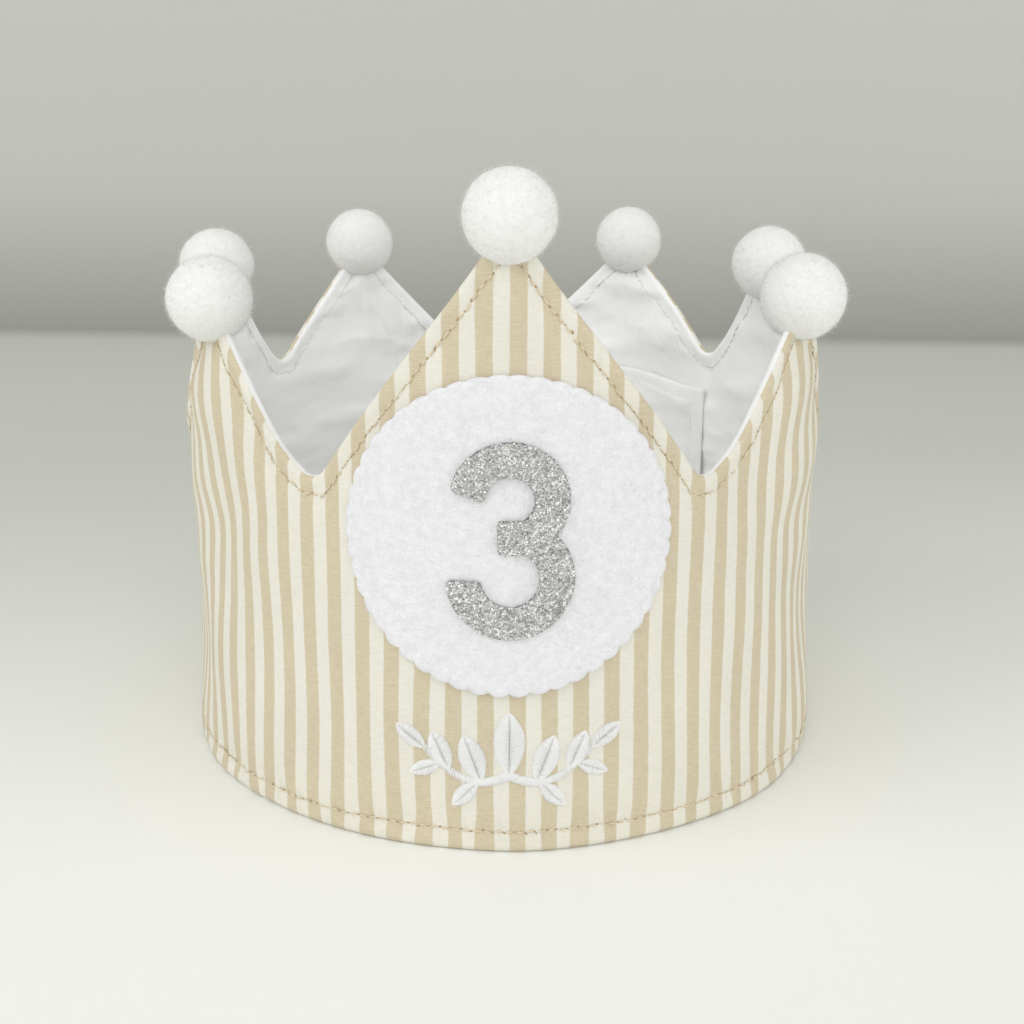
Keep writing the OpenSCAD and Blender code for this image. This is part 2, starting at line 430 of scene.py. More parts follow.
def as_mesh(bm, name):
    """Ends a bmesh and keeps it as a mesh."""
    mesh = bpy.data.meshes.new(name)
    bm.to_mesh(mesh)
    bm.free()
    return mesh


def flat_list(places):
    """Places as one run of numbers, for a mesh's own arrays."""
    return np.ascontiguousarray(places, dtype=np.float32).ravel()


print(len(STATIONS), "rows of faces follow each sewn edge")


# %% Make a piece of the crown
def show(mesh, name, material):
    """Puts a mesh with its material in the scene, as an object at the origin."""
    mesh.materials.append(material)
    piece = bpy.data.objects.new(name, mesh)
    bpy.context.scene.collection.objects.link(piece)
    return piece


def new_piece(bm, name, material, places=None, pattern=None):
    """A smooth piece, with its vertices at new places and a UV map in metres."""
    mesh = as_mesh(bm, name)
    if places is not None:
        mesh.vertices.foreach_set("co", flat_list(places))
    if pattern is not None:
        corners = np.empty(len(mesh.loops), dtype=np.int32)
        mesh.loops.foreach_get("vertex_index", corners)
        uv_map = mesh.uv_layers.new(name="pattern")
        uv_map.data.foreach_set("uv", flat_list(pattern[corners]))
    mesh.shade_smooth()
    mesh.update()
    piece = show(mesh, name, material)
    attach(piece, "root")
    print(name, "has", len(mesh.polygons), "faces")
    return piece


def scatter(bm, template, shapes):
    """Adds a copy of a small template mesh for each array of its vertices' places."""
    for places in shapes:
        template.vertices.foreach_set("co", flat_list(places))
        bm.from_mesh(template, face_normals=False, vertex_normals=False)
    bm.normal_update()
    return bm


print("helpers for pieces and for copies of small shapes")

# %% [markdown]
# ## Cloth materials
# Colours are written as they look on a screen, from 0 to 255, and turned into the linear numbers
# that shaders use. One node group draws a plain weave: threads that go over and under each other,
# with thicker and thinner stretches. Every cloth in the crown places that group with its own pitch.

# %% Node helpers
def shade(red, green, blue):
    """A screen colour as linear numbers."""
    linear = [((v / 255 + 0.055) / 1.055) ** 2.4 for v in (red, green, blue)]
    return (*linear, 1.0)


def add_node(tree, kind, **settings):
    """Adds a shader node with these settings."""
    made = tree.nodes.new(kind)
    for name, value in settings.items():
        setattr(made, name, value)
    return made


def feed(tree, socket, value):
    """Links a socket to another one, or sets it to a plain value."""
    if isinstance(value, bpy.types.NodeSocket):
        tree.links.new(value, socket)
    else:
        socket.default_value = value


def calculate(tree, operation, *values):
    """A Math node on sockets or numbers."""
    made = add_node(tree, "ShaderNodeMath", operation=operation)
    for socket, value in zip(made.inputs, values):
        feed(tree, socket, value)
    return made.outputs[0]


def blend_colours(tree, share, first, second, way="MIX"):
    """A Mix node on two colours."""
    made = add_node(tree, "ShaderNodeMix", data_type="RGBA", blend_type=way)
    feed(tree, made.inputs[0], share)
    feed(tree, made.inputs[6], first)
    feed(tree, made.inputs[7], second)
    return made.outputs[2]


def remap(tree, value, from_low, from_high, to_low, to_high, smoothly=False):
    """A Map Range node."""
    made = add_node(tree, "ShaderNodeMapRange", interpolation_type="SMOOTHSTEP" if smoothly else "LINEAR")
    feed(tree, made.inputs["Value"], value)
    limits = {"From Min": from_low, "From Max": from_high, "To Min": to_low, "To Max": to_high}
    for name, number in limits.items():
        made.inputs[name].default_value = number
    return made.outputs["Result"]


print("helpers for nodes")


# %% Texture helpers
def object_place(tree):
    """Places in the object's own coordinates."""
    return add_node(tree, "ShaderNodeTexCoord").outputs["Object"]


def cloth_pattern(tree):
    """Places on the cloth's flat pattern, in metres."""
    return add_node(tree, "ShaderNodeUVMap", uv_map="pattern").outputs["UV"]


def noise(tree, vector, scale, detail=2.0, roughness=0.5):
    """A Noise Texture's value at a vector."""
    made = add_node(tree, "ShaderNodeTexNoise")
    feed(tree, made.inputs["Vector"], vector)
    made.inputs["Scale"].default_value = scale
    made.inputs["Detail"].default_value = detail
    made.inputs["Roughness"].default_value = roughness
    return made.outputs["Fac"]


def stretched(tree, vector, scale):
    """A Mapping node that scales a vector along each axis."""
    made = add_node(tree, "ShaderNodeMapping")
    feed(tree, made.inputs["Vector"], vector)
    made.inputs["Scale"].default_value = scale
    return made.outputs["Vector"]


def cell_field(tree, scale):
    """A Voronoi Texture: a close field of small cells."""
    made = add_node(tree, "ShaderNodeTexVoronoi")
    made.inputs["Scale"].default_value = scale
    feed(tree, made.inputs["Vector"], object_place(tree))
    return made


def cell_numbers(tree, scale):
    """Three numbers that change from cell to cell."""
    split = add_node(tree, "ShaderNodeSeparateColor")
    feed(tree, split.inputs[0], cell_field(tree, scale).outputs["Color"])
    return split.outputs


print("helpers for textures")


# %% The plain weave as a node group
def make_weave():
    """Threads over and under: a height for bump and a shade for colour."""
    group = bpy.data.node_groups.new("plain_weave", "ShaderNodeTree")
    group.interface.new_socket("Vector", in_out="INPUT", socket_type="NodeSocketVector")
    pitch = group.interface.new_socket("Threads per metre", in_out="INPUT", socket_type="NodeSocketFloat")
    pitch.default_value = 2200
    group.interface.new_socket("Height", in_out="OUTPUT", socket_type="NodeSocketFloat")
    group.interface.new_socket("Shade", in_out="OUTPUT", socket_type="NodeSocketFloat")
    entry = add_node(group, "NodeGroupInput")
    leave = add_node(group, "NodeGroupOutput")
    split = add_node(group, "ShaderNodeSeparateXYZ")
    feed(group, split.inputs[0], entry.outputs["Vector"])
    waves = []
    for axis in (0, 1):
        phase = calculate(group, "MULTIPLY", split.outputs[axis], entry.outputs["Threads per metre"])
        waves.append(calculate(group, "SINE", calculate(group, "MULTIPLY", phase, math.pi)))
    over = calculate(group, "MULTIPLY", waves[0], waves[1])
    warp_slub = noise(group, stretched(group, entry.outputs["Vector"], (1, 0.1, 1)), 3400, 1.0)
    weft_slub = noise(group, stretched(group, entry.outputs["Vector"], (0.1, 1, 1)), 3400, 1.0)
    weft_part = calculate(group, "MULTIPLY", weft_slub, 1.3)
    slub = calculate(group, "ADD", calculate(group, "MULTIPLY", warp_slub, 0.7), weft_part)
    height = calculate(group, "MULTIPLY_ADD", over, 0.25, calculate(group, "MULTIPLY", slub, 0.6))
    feed(group, leave.inputs["Height"], height)
    feed(group, leave.inputs["Shade"], remap(group, slub, 0.7, 1.3, 0.0, 1.0))
    return group


weave_group = make_weave()
print("weave group with", len(weave_group.nodes), "nodes")


# %% Material helpers
def new_material(name, roughness, sheen=0.0, gloss=0.5):
    """A material with a Principled shader."""
    material = bpy.data.materials.new(name)
    material.use_nodes = True
    shader = material.node_tree.nodes["Principled BSDF"]
    shader.inputs["Roughness"].default_value = roughness
    shader.inputs["Sheen Weight"].default_value = sheen
    shader.inputs["Specular IOR Level"].default_value = gloss
    return material, material.node_tree, shader


def paint(tree, shader, share, dark, light):
    """Colours a shader from dark to light."""
    feed(tree, shader.inputs["Base Color"], blend_colours(tree, share, dark, light))


def place_weave(tree, vector, threads):
    """Places the plain weave in a material."""
    made = add_node(tree, "ShaderNodeGroup", node_tree=weave_group)
    feed(tree, made.inputs["Vector"], vector)
    made.inputs["Threads per metre"].default_value = threads
    return made.outputs["Height"], made.outputs["Shade"]


def add_bump(tree, shader, height, depth, strength):
    """Feeds a height in metres of depth to the shader's normal."""
    made = add_node(tree, "ShaderNodeBump")
    made.inputs["Strength"].default_value = strength
    made.inputs["Distance"].default_value = depth
    feed(tree, made.inputs["Height"], height)
    feed(tree, shader.inputs["Normal"], made.outputs["Normal"])


print("helpers for materials")

# %% [markdown]
# ### Striped cotton
# The outer cloth is a woven ticking: cream and beige stripes of equal width that run up the band.
# The stripes come from the UV map, so they bend with the cloth where stitches pull it. Their edges
# are a little soft and uneven, because they are dyed threads and not a printed line, and the beige
# shows more fleck than the cream.

# %% Make the striped cotton
THREAD_RELIEF = 0.08 * MM
STRIPE_PERIOD = CROWN_R * math.tau / 72
CREAM_CENTRE = -1.6 * MM
CREAM_SHARE = 0.485
BORDER_BLUR = 0.03
BEIGE = shade(218, 206, 180)
BEIGE_DARK = shade(206, 193, 165)
CREAM = shade(237, 234, 222)
CREAM_DARK = shade(228, 225, 211)


def make_striped_cotton():
    """Woven stripes on the cloth's own pattern."""
    material, tree, shader = new_material("striped_cotton", 0.92, 0.1, 0.15)
    cloth = cloth_pattern(tree)
    height, fleck = place_weave(tree, cloth, 3000)
    split = add_node(tree, "ShaderNodeSeparateXYZ")
    feed(tree, split.inputs[0], cloth)
    waver = noise(tree, stretched(tree, cloth, (1, 0.25, 1)), 900, 2.0)
    along = calculate(tree, "MULTIPLY_ADD", waver, 0.35 * MM, split.outputs["X"])
    repeats = calculate(tree, "DIVIDE", calculate(tree, "SUBTRACT", along, CREAM_CENTRE), STRIPE_PERIOD)
    from_cream = calculate(tree, "PINGPONG", repeats, 0.5)
    border = CREAM_SHARE / 2
    beige_here = remap(tree, from_cream, border - BORDER_BLUR, border + BORDER_BLUR, 0, 1, True)
    beige = blend_colours(tree, fleck, BEIGE_DARK, BEIGE)
    cream = blend_colours(tree, fleck, CREAM_DARK, CREAM)
    colour = blend_colours(tree, beige_here, cream, beige)
    soil = remap(tree, noise(tree, cloth, 45, 3.0), 0.35, 0.65, 0.965, 1.0)
    feed(tree, shader.inputs["Base Color"], blend_colours(tree, 1.0, colour, soil, "MULTIPLY"))
    add_bump(tree, shader, height, THREAD_RELIEF, 0.4)
    return material


striped_cotton = make_striped_cotton()
print("stripes repeat every", round(STRIPE_PERIOD / MM, 2), "mm")


# %% Make the white cottons
def make_white_cotton(name, light, dark, threads):
    """Plain white cloth with uneven threads."""
    material, tree, shader = new_material(name, 0.9, 0.1, 0.15)
    cloth = cloth_pattern(tree)
    height, fleck = place_weave(tree, cloth, threads)
    cloud = remap(tree, noise(tree, cloth, 60, 3.0), 0.3, 0.7, 0.0, 0.35)
    paint(tree, shader, calculate(tree, "MULTIPLY_ADD", fleck, 0.65, cloud), dark, light)
    add_bump(tree, shader, height, THREAD_RELIEF, 0.4)
    return material


lining_cotton = make_white_cotton("lining_cotton", shade(252, 252, 251), shade(246, 246, 245), 3000)
flap_cotton = make_white_cotton("flap_cotton", shade(250, 250, 248), shade(243, 243, 241), 2800)
print("two white cottons")

# %% [markdown]
# ## The outer cover and the lining
# The two cloths have the same cut and meet at one seam that runs along every edge. Each is one
# grid, rolled into a ring by the wall's formula. They meet in one closed seam near the crest of the
# edge. At the front it lies a little outside the crest, so the white lining shows as a fine line along
# the valleys, and at the back a little inside it, so that the stripes show round the rear points.

# %% Lay out the rows and columns of the band
SEAM_FRONT = 0.07 * MM
SEAM_BACK = -0.1 * MM
MIDDLE_ROWS = 54
COLUMN_STEP = 1.2 * MM
end_columns = STATIONS * BASE_STITCH / TOP_STITCH / CROWN_R
middle_count = int((LAST_TURN - FIRST_TURN) * CROWN_R / COLUMN_STEP)
middle_columns = np.linspace(FIRST_TURN + end_columns[-1], LAST_TURN - end_columns[-1], middle_count)
band_columns = np.concatenate(
    [FIRST_TURN + end_columns[:-1], middle_columns, LAST_TURN - end_columns[-2::-1]]
)
ROWS = 2 * len(STATIONS) + MIDDLE_ROWS


def seam_at(turn):
    """How far the seam lies outside (or, if negative, inside) the crest of the top edge."""
    behind = smooth((np.abs(turn) - math.radians(85)) / math.radians(30))
    return SEAM_FRONT + (SEAM_BACK - SEAM_FRONT) * behind


def band_rows(turn, row, side):
    """Height of each row of a cloth, and the side of the wall that it lies on there."""
    base = STATIONS * BASE_STITCH / TOP_STITCH
    low = base[np.clip(row, 0, len(STATIONS) - 1)]
    station = STATIONS[np.clip(ROWS - 1 - row, 0, len(STATIONS) - 1)]
    past_crest = station + side * seam_at(turn) * (1 - smooth(station / (2 * MM)))
    top = edge_at(turn) - np.abs(past_crest) * stretch_at(turn)
    share = np.clip((row - len(STATIONS) + 1) / (MIDDLE_ROWS + 1), 0, 1)
    return low + (top - low) * share, np.where(past_crest < 0, -side, side)


def band_cloth(name, side, material):
    """One cloth of the band, outside or inside."""
    bm, column, row = flat_grid(len(band_columns), ROWS)
    turn = band_columns[column]
    height, sides = band_rows(turn, row, side)
    if side < 0:
        bmesh.ops.reverse_faces(bm, faces=bm.faces)
    pattern = np.stack([turn * CROWN_R, height], axis=-1)
    return new_piece(bm, name, material, on_skin(turn, height, sides), pattern)


cover = band_cloth("cover_cloth", 1, striped_cotton)
inside = band_cloth("lining_cloth", -1, lining_cotton)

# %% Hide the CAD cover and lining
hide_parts("outer_cover")
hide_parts("lining")

# %% [markdown]
# ## The padding
# A layer of firm wadding lies between the cloths and is caught in the topstitching. Nobody sees it
# in a finished crown, but it gives the wall its body. It is the same band drawn in from the edges:
# two grids, one for each face, closed where they meet.

# %% Make the padding
PAD_INSET = 1.2 * MM
CLOTH_T = 0.3 * MM


def make_wadding():
    """Off-white wadding with a loose fibrous grain."""
    material, tree, shader = new_material("wadding", 0.95)
    fibre = noise(tree, stretched(tree, object_place(tree), (1, 1, 0.35)), 700, 4.0, 0.7)
    paint(tree, shader, fibre, shade(214, 212, 206), shade(240, 239, 235))
    add_bump(tree, shader, fibre, 0.5 * MM, 0.6)
    return material


def make_padding():
    """The padded core, inside both cloths."""
    columns = np.linspace(FIRST_TURN + PAD_INSET / CROWN_R, LAST_TURN - PAD_INSET / CROWN_R, 300)
    rows = 40
    bm = bmesh.new()
    for side in (1, -1):
        face, column, row = flat_grid(len(columns), rows)
        turn = columns[column]
        rim = (row == 0) | (row == rows - 1) | (column == 0) | (column == len(columns) - 1)
        low, top = PAD_INSET, edge_at(turn) - PAD_INSET * stretch_at(turn)
        height = low + (top - low) * row / (rows - 1)
        thick = np.maximum(half_section(edge_distance(turn, height), 1) - 2 * CLOTH_T, 0.1 * MM)
        middle = (skin_radius(turn, height, 1) + skin_radius(turn, height, -1)) / 2
        radius = middle + np.where(rim, 0, side * 0.7 * thick)
        place_verts(face, around(turn, radius, height))
        if side < 0:
            bmesh.ops.reverse_faces(face, faces=face.faces)
        bm.from_mesh(as_mesh(face, "padding_face"))
    bmesh.ops.remove_doubles(bm, verts=bm.verts, dist=0.02 * MM)
    return bm


padding = new_piece(make_padding(), "padding", make_wadding())
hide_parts("interlining")

# %% [markdown]
# ## Topstitching
# A line of machine stitches follows every edge, four millimetres in, and shows on both sides of the
# wall. Each stitch is a short slug of thread that dives into the cloth at both ends. Before the next
# one lies its needle hole, drawn as a flat dark slug of painted shade on the cloth. A stretched ball
# with a few dozen faces has both shapes, so one template is laid along the stitch line again and
# again, with small differences in length and angle.

# %% Make the threads
def make_thread(name, light, dark, twist, sheen):
    """Sewing thread: fine slanted ply lines on Object coordinates."""
    material, tree, shader = new_material(name, 0.62, sheen)
    ply = noise(tree, stretched(tree, object_place(tree), (1, 1, 0.5)), twist, 2.0)
    paint(tree, shader, remap(tree, ply, 0.3, 0.7, 0, 1), dark, light)
    add_bump(tree, shader, ply, THREAD_RELIEF, 0.5)
    return material


cover_thread = make_thread("cover_thread", shade(230, 217, 189), shade(209, 193, 162), 3800, 0.2)
lining_thread = make_thread("lining_thread", shade(245, 244, 240), shade(232, 230, 225), 3800, 0.2)
# The needle holes are painted shade: flat slugs in these darker colours, laid where the holes are.
needle_shade = make_thread("needle_shade", shade(192, 169, 130), shade(166, 143, 105), 3800, 0.0)
lining_shade = make_thread("lining_shade", shade(237, 236, 233), shade(227, 226, 223), 3800, 0.0)


print("two threads, and the shade in their needle holes")


# %% Lay one strand of thread
def unit(vector):
    """A vector made one long."""
    return vector / np.linalg.norm(vector)


def facing_out(turn):
    """The direction out from the axis at a turn."""
    return np.array([math.sin(turn), -math.cos(turn), 0])


def strand_template(name, around_count, along_count):
    """A unit ball with its poles on the X axis, as a mesh and as an array of places."""
    bm = bmesh.new()
    bmesh.ops.create_uvsphere(bm, u_segments=around_count, v_segments=along_count, radius=0.5)
    place_verts(bm, [(vert.co.z, vert.co.x, vert.co.y) for vert in bm.verts])
    bmesh.ops.recalc_face_normals(bm, faces=bm.faces)
    mesh = as_mesh(bm, name)
    return mesh, places_of(mesh.vertices)


def laid_strand(template, start, end, width, thickness, out):
    """Places of a strand that runs from start to end, with its flat side facing out."""
    along = end - start
    across = unit(np.cross(out, along))
    up = unit(np.cross(along, across))
    centre = (start + end) / 2
    aside = template[:, 1:2] * width * across
    return centre + template[:, :1] * along + aside + template[:, 2:] * thickness * up


strand_mesh, strand = strand_template("stitch_template", 7, 5)
print("a strand has", len(strand_mesh.polygons), "faces")

# %% Sew the topstitching
STITCH_PITCH = 2.7 * MM
STITCH_L = 1.85 * MM
STITCH_LIFT = 0.2 * MM
STITCH_WANDER = 0.22 * MM
THREAD_W = 0.55 * MM
HOLE_W = 0.55 * MM
HOLE_T = 0.12 * MM
HOLE_LIFT = 0.06 * MM


def stitch_line(turns, heights, side, rng):
    """Hand-guided stitches along a line of the flat pattern, and after each a flat dark slug of painted
    shade for its needle hole.
    """
    line = on_skin(turns, heights, side)
    steps = np.linalg.norm(np.diff(line, axis=0), axis=1)
    run = np.concatenate([[0], np.cumsum(steps)])
    count = int(run[-1] / STITCH_PITCH)
    starts = (np.arange(count) + 0.15) * run[-1] / count
    stops = starts + STITCH_L * rng.uniform(0.85, 1.08, count)
    next_starts = stops + (STITCH_PITCH - STITCH_L)
    lifts = (STITCH_LIFT, STITCH_LIFT, HOLE_LIFT, HOLE_LIFT)
    ends = []
    for spots, lift in zip((starts, stops, stops, next_starts), lifts):
        wander = rng.normal(0, STITCH_WANDER, count)
        spot_turns = np.interp(spots, run, turns)
        ends.append(on_skin(spot_turns, np.interp(spots, run, heights) + wander, side, lift))
    stitches, holes = [], []
    for turn, start, stop, hole, next_start in zip(np.interp(starts, run, turns), *ends):
        out = side * facing_out(turn)
        hole_w = HOLE_W * rng.uniform(0.5, 1.2)
        stitches.append(laid_strand(strand, start, stop, THREAD_W, THREAD_W, out))
        holes.append(laid_strand(strand, hole, next_start, hole_w, HOLE_T, out))
    return stitches, holes


def topstitching(name, side, thread, dark, seed):
    """The stitch lines along the top edge, the base and the two back ends, on one side of the wall."""
    rng = np.random.default_rng(seed)
    margin = BASE_STITCH / CROWN_R
    turns = np.linspace(FIRST_TURN + margin, LAST_TURN - margin, 3000)
    lines = [
        (turns, edge_at(turns) - TOP_STITCH * stretch_at(turns)),
        (turns, np.full(len(turns), BASE_STITCH)),
    ]
    for turn in (turns[0], turns[-1]):
        up = np.linspace(BASE_STITCH, edge_at(turn) - TOP_STITCH, 200)
        lines.append((np.full(len(up), turn), up))
    stitches, holes = [], []
    for line_turns, line_heights in lines:
        more_stitches, more_holes = stitch_line(line_turns, line_heights, side, rng)
        stitches += more_stitches
        holes += more_holes
    sewn = new_piece(scatter(bmesh.new(), strand_mesh, stitches), name, thread)
    # Painted shade: a dark slug at each needle hole.
    painted_hole_shade = new_piece(scatter(bmesh.new(), strand_mesh, holes), name + "_holes", dark)
    return sewn, painted_hole_shade


cover_stitches, cover_hole_shade = topstitching("cover_stitches", 1, cover_thread, needle_shade, 11)
lining_stitches, lining_hole_shade = topstitching("lining_stitches", -1, lining_thread, lining_shade, 12)

# %% [markdown]
# ## The closure at the back
# A flap of double white cloth is sewn to one end of the band and laps inside the other end, where
# strips of hook and loop tape hold it. The flap is a closed two-ply piece with its own rolled edge
# and stitch line. It is sewn on a little askew and wrinkles where it is free. The tapes keep their
# CAD shape and only get a finish: brushed loops on one, rows of small hooks on the other, and on
# both a painted shade where the cells are low.

# %% Shape the closure flap
flap_low, flap_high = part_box("closure_flap")
FLAP_L = 81 * MM
FLAP_ROOT_L = 14 * MM
FLAP_T = 1.4 * MM
TAPE_T = 1.2 * MM
FLAP_STITCH = 3.8 * MM
INNER_R = MID_R - HALF_WALL
flap_end = closure_turn - FLAP_L / CROWN_R
flap_root = closure_turn + FLAP_ROOT_L / CROWN_R
FLAP_SKEW = 3.2 * MM
flap_waves = soft_waves(21, 7, 45 * MM, 24 * MM)
flap_folds = soft_waves(23, 9, 38 * MM, 7 * MM)


def flap_edge(turn, height):
    """Distance from the flap's nearest edge."""
    ends = np.minimum(turn - flap_end, flap_root - turn) * INNER_R
    return np.minimum(ends, np.minimum(height - flap_low.z, flap_high.z - height))


def flap_place(turn, height, side, lift=0.0):
    """A place on the flap: limp at its free end, over the tapes, then out to where it is sewn on."""
    distance = np.maximum(flap_edge(turn, height), 0)
    roll = np.sqrt(1 - (1 - np.clip(distance / (1.2 * MM), 0, 1)) ** 2)
    groove = 0.35 * np.exp(-(((distance - FLAP_STITCH) / (0.8 * MM)) ** 2))
    step = smooth((turn - closure_turn + 2 * MM / INNER_R) / (6 * MM / INNER_R))
    limp = 0.75 * (1 - smooth((turn - flap_end) * INNER_R / (8 * MM)))
    middle = INNER_R - 2 * TAPE_T - FLAP_T / 2 + 2 * TAPE_T * (step + limp)
    free = smooth(distance / (8 * MM)) * (1 - step)
    s = turn * INNER_R
    folds = 1 - np.abs(np.sin(1.4 * flap_folds(s, height) + flap_waves(s, height)))
    swing = (0.5 * MM * (1 + flap_waves(s, height)) + 0.7 * MM * folds) * free
    radius = middle - np.maximum(swing, 0) - side * (FLAP_T / 2 * (roll - groove) + lift)
    share = (height - flap_low.z) / (flap_high.z - flap_low.z)
    skew = FLAP_SKEW * smooth((turn - flap_end) * INNER_R / (30 * MM)) * share
    return around(turn, radius, height + skew)


print("flap", round(FLAP_L / MM), "mm long past the root that is sewn on")


# %% Make the closure flap
def flap_lines(start, stop, scale, count):
    """Grid lines from start to stop, close together at both ends."""
    close = STATIONS[:-3] / scale
    reach = 8 * MM / scale
    middle = np.linspace(start + reach, stop - reach, count)
    return np.concatenate([start + close, middle, stop - close[::-1]])


def make_flap():
    """Both plies of the flap, closed along the edge."""
    turns = flap_lines(flap_end, flap_root, CROWN_R, 70)
    heights = flap_lines(flap_low.z, flap_high.z, 1, 44)
    bm = bmesh.new()
    for side in (1, -1):
        ply, column, row = flat_grid(len(turns), len(heights))
        place_verts(ply, flap_place(turns[column], heights[row], side))
        bm.from_mesh(as_mesh(ply, "flap_ply"))
    bmesh.ops.remove_doubles(bm, verts=bm.verts, dist=0.01 * MM)
    bmesh.ops.recalc_face_normals(bm, faces=bm.faces)
    return bm


flap_bm = make_flap()
flap_co = places_of(flap_bm.verts)
flap_turns = np.mod(np.arctan2(flap_co[:, 0], -flap_co[:, 1]), math.tau)
flap_pattern = np.stack([flap_turns * INNER_R, flap_co[:, 2]], axis=-1)
flap = new_piece(flap_bm, "flap_cloth", flap_cotton, pattern=flap_pattern)
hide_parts("closure_flap")


# %% Stitch the flap
def flap_stitching():
    """Stitches along the flap's free edges."""
    rng = np.random.default_rng(22)
    shapes = []
    low, high = flap_low.z + FLAP_STITCH, flap_high.z - FLAP_STITCH
    start, stop = flap_end + FLAP_STITCH / INNER_R, flap_root - FLAP_STITCH / INNER_R
    corners = [(stop, low), (start, low), (start, high), (stop, high)]
    for (turn_a, height_a), (turn_b, height_b) in zip(corners[:-1], corners[1:]):
        length = math.hypot((turn_b - turn_a) * INNER_R, height_b - height_a)
        count = int(length / STITCH_PITCH)
        for index in range(count):
            shares = (index + np.array([0.12, 0.12 + STITCH_L / STITCH_PITCH])) / count
            turn = turn_a + (turn_b - turn_a) * shares
            height = height_a + (height_b - height_a) * shares + rng.normal(0, 0.06 * MM, 2)
            ends = flap_place(turn, height, 1)
            shapes.append(laid_strand(strand, *ends, 0.4 * MM, 0.3 * MM, -facing_out(turn[0])))
    return new_piece(scatter(bmesh.new(), strand_mesh, shapes), "flap_stitches", lining_thread)


flap_stitches = flap_stitching()


# %% Finish the tapes
def make_tape(name, light, dark, scale, depth):
    """Hook or loop tape: a close field of small cells, with painted shade where they are low."""
    material, tree, shader = new_material(name, 0.8)
    height_and_shade = remap(tree, cell_field(tree, scale).outputs["Distance"], 0.1, 0.7, 1.0, 0.0)
    # Painted shade: the same mask that raises the cells darkens the tape between them.
    paint(tree, shader, height_and_shade, dark, light)
    add_bump(tree, shader, height_and_shade, depth, 0.8)
    return material


def refinish(node, material):
    """Gives a CAD node a better material."""
    piece = bpy.data.objects[node]
    piece.data.materials.clear()
    piece.data.materials.append(material)
    return piece


refinish("loop_tape", make_tape("loop_tape", shade(245, 245, 243), shade(214, 214, 211), 1300, 0.5 * MM))
refinish("hook_tape", make_tape("hook_tape", shade(240, 239, 234), shade(188, 187, 181), 700, 0.8 * MM))
print("tapes finished")

# %% [markdown]
# ## The felt disc
# The disc is cut from thick white craft felt with scalloped shears and sewn flat on the front. Felt
# is a mat of fibres, so its face is lumpy at a scale of a millimetre or two and its cut edge
# is soft. A grid in angle and distance from the centre follows the scallops, wraps round the edge and
# bends over the wall. A few thousand short hairs on the face give it its fuzz.

# %% Shape the felt disc
SCALLOP_COUNT = 50
SCALLOP_R = 4 * MM
SCALLOP_WEAR = 0.3
FELT_T = 2 * MM
felt_lumps = lumpy(31, 24, 3.0 * MM)
felt_clouds = lumpy(32, 16, 9 * MM)


def disc_reach(angle):
    """Distance from the disc's centre to its scalloped edge."""
    pitch = math.tau / SCALLOP_COUNT
    off = np.mod(angle + pitch / 2, pitch) - pitch / 2
    centre = DISC_R - SCALLOP_R
    cut = centre * np.cos(off) + np.sqrt(SCALLOP_R**2 - (centre * np.sin(off)) ** 2)
    return cut + (0.05 + SCALLOP_WEAR * (np.sin(angle) + 0.35 * np.sin(9 * angle))) * (DISC_R - cut)


def on_felt(s, up, lift):
    """A place at a distance along and up from the disc's centre, lifted off the wall."""
    return around(s / CROWN_R, CROWN_R + flare_at(s / CROWN_R, DISC_H + up) + lift, DISC_H + up)


def felt_top(s, up):
    """Height of the felt's face off the wall."""
    return FELT_T - 0.1 * MM + 0.07 * MM * felt_lumps(s, up) + 0.12 * MM * felt_clouds(s, up)


print("felt with", SCALLOP_COUNT, "scallops")

# %% Make the felt disc
EDGE_SHARES = [0.93, 0.985, 0.998, 1.0, 0.999, 0.993, 0.98]  # from under the edge, round it to the face
EDGE_LIFTS = [0.05, 0.05, 0.2, 0.45, 0.7, 0.87, 0.97]
FACE_ROWS = 46
felt_shares = np.array(EDGE_SHARES + list(np.linspace(0.96, 0, FACE_ROWS)))
felt_lifts = np.array(EDGE_LIFTS + [1.0] * FACE_ROWS)


def make_felt_disc():
    """The disc as a polar grid, closed at its centre and along its seam."""
    spokes = SCALLOP_COUNT * 8 + 1
    bm, column, row = flat_grid(spokes, len(felt_shares))
    angle = math.tau * column / (spokes - 1)
    distance = disc_reach(angle) * felt_shares[row]
    s, up = distance * np.cos(angle), distance * np.sin(angle)
    place_verts(bm, on_felt(s, up, felt_top(s, up) * felt_lifts[row]))
    bmesh.ops.remove_doubles(bm, verts=bm.verts, dist=0.005 * MM)
    return bm


def make_felt():
    """White felt: matted fibre clouds and a soft bloom."""
    material, tree, shader = new_material("felt", 0.96, 0.15, 0.1)
    place = object_place(tree)
    mat = noise(tree, place, 520, 4.0, 0.65)
    fibre = noise(tree, place, 2400, 3.0, 0.6)
    both = calculate(tree, "MULTIPLY_ADD", fibre, 0.5, calculate(tree, "MULTIPLY", mat, 0.5))
    share = remap(tree, both, 0.35, 0.65, 0, 1)
    paint(tree, shader, share, shade(225, 225, 227), shade(243, 243, 245))
    add_bump(tree, shader, both, 0.5 * MM, 0.7)
    return material


felt = make_felt()
disc = new_piece(make_felt_disc(), "felt_disc_cloth", felt)
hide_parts("felt_disc")


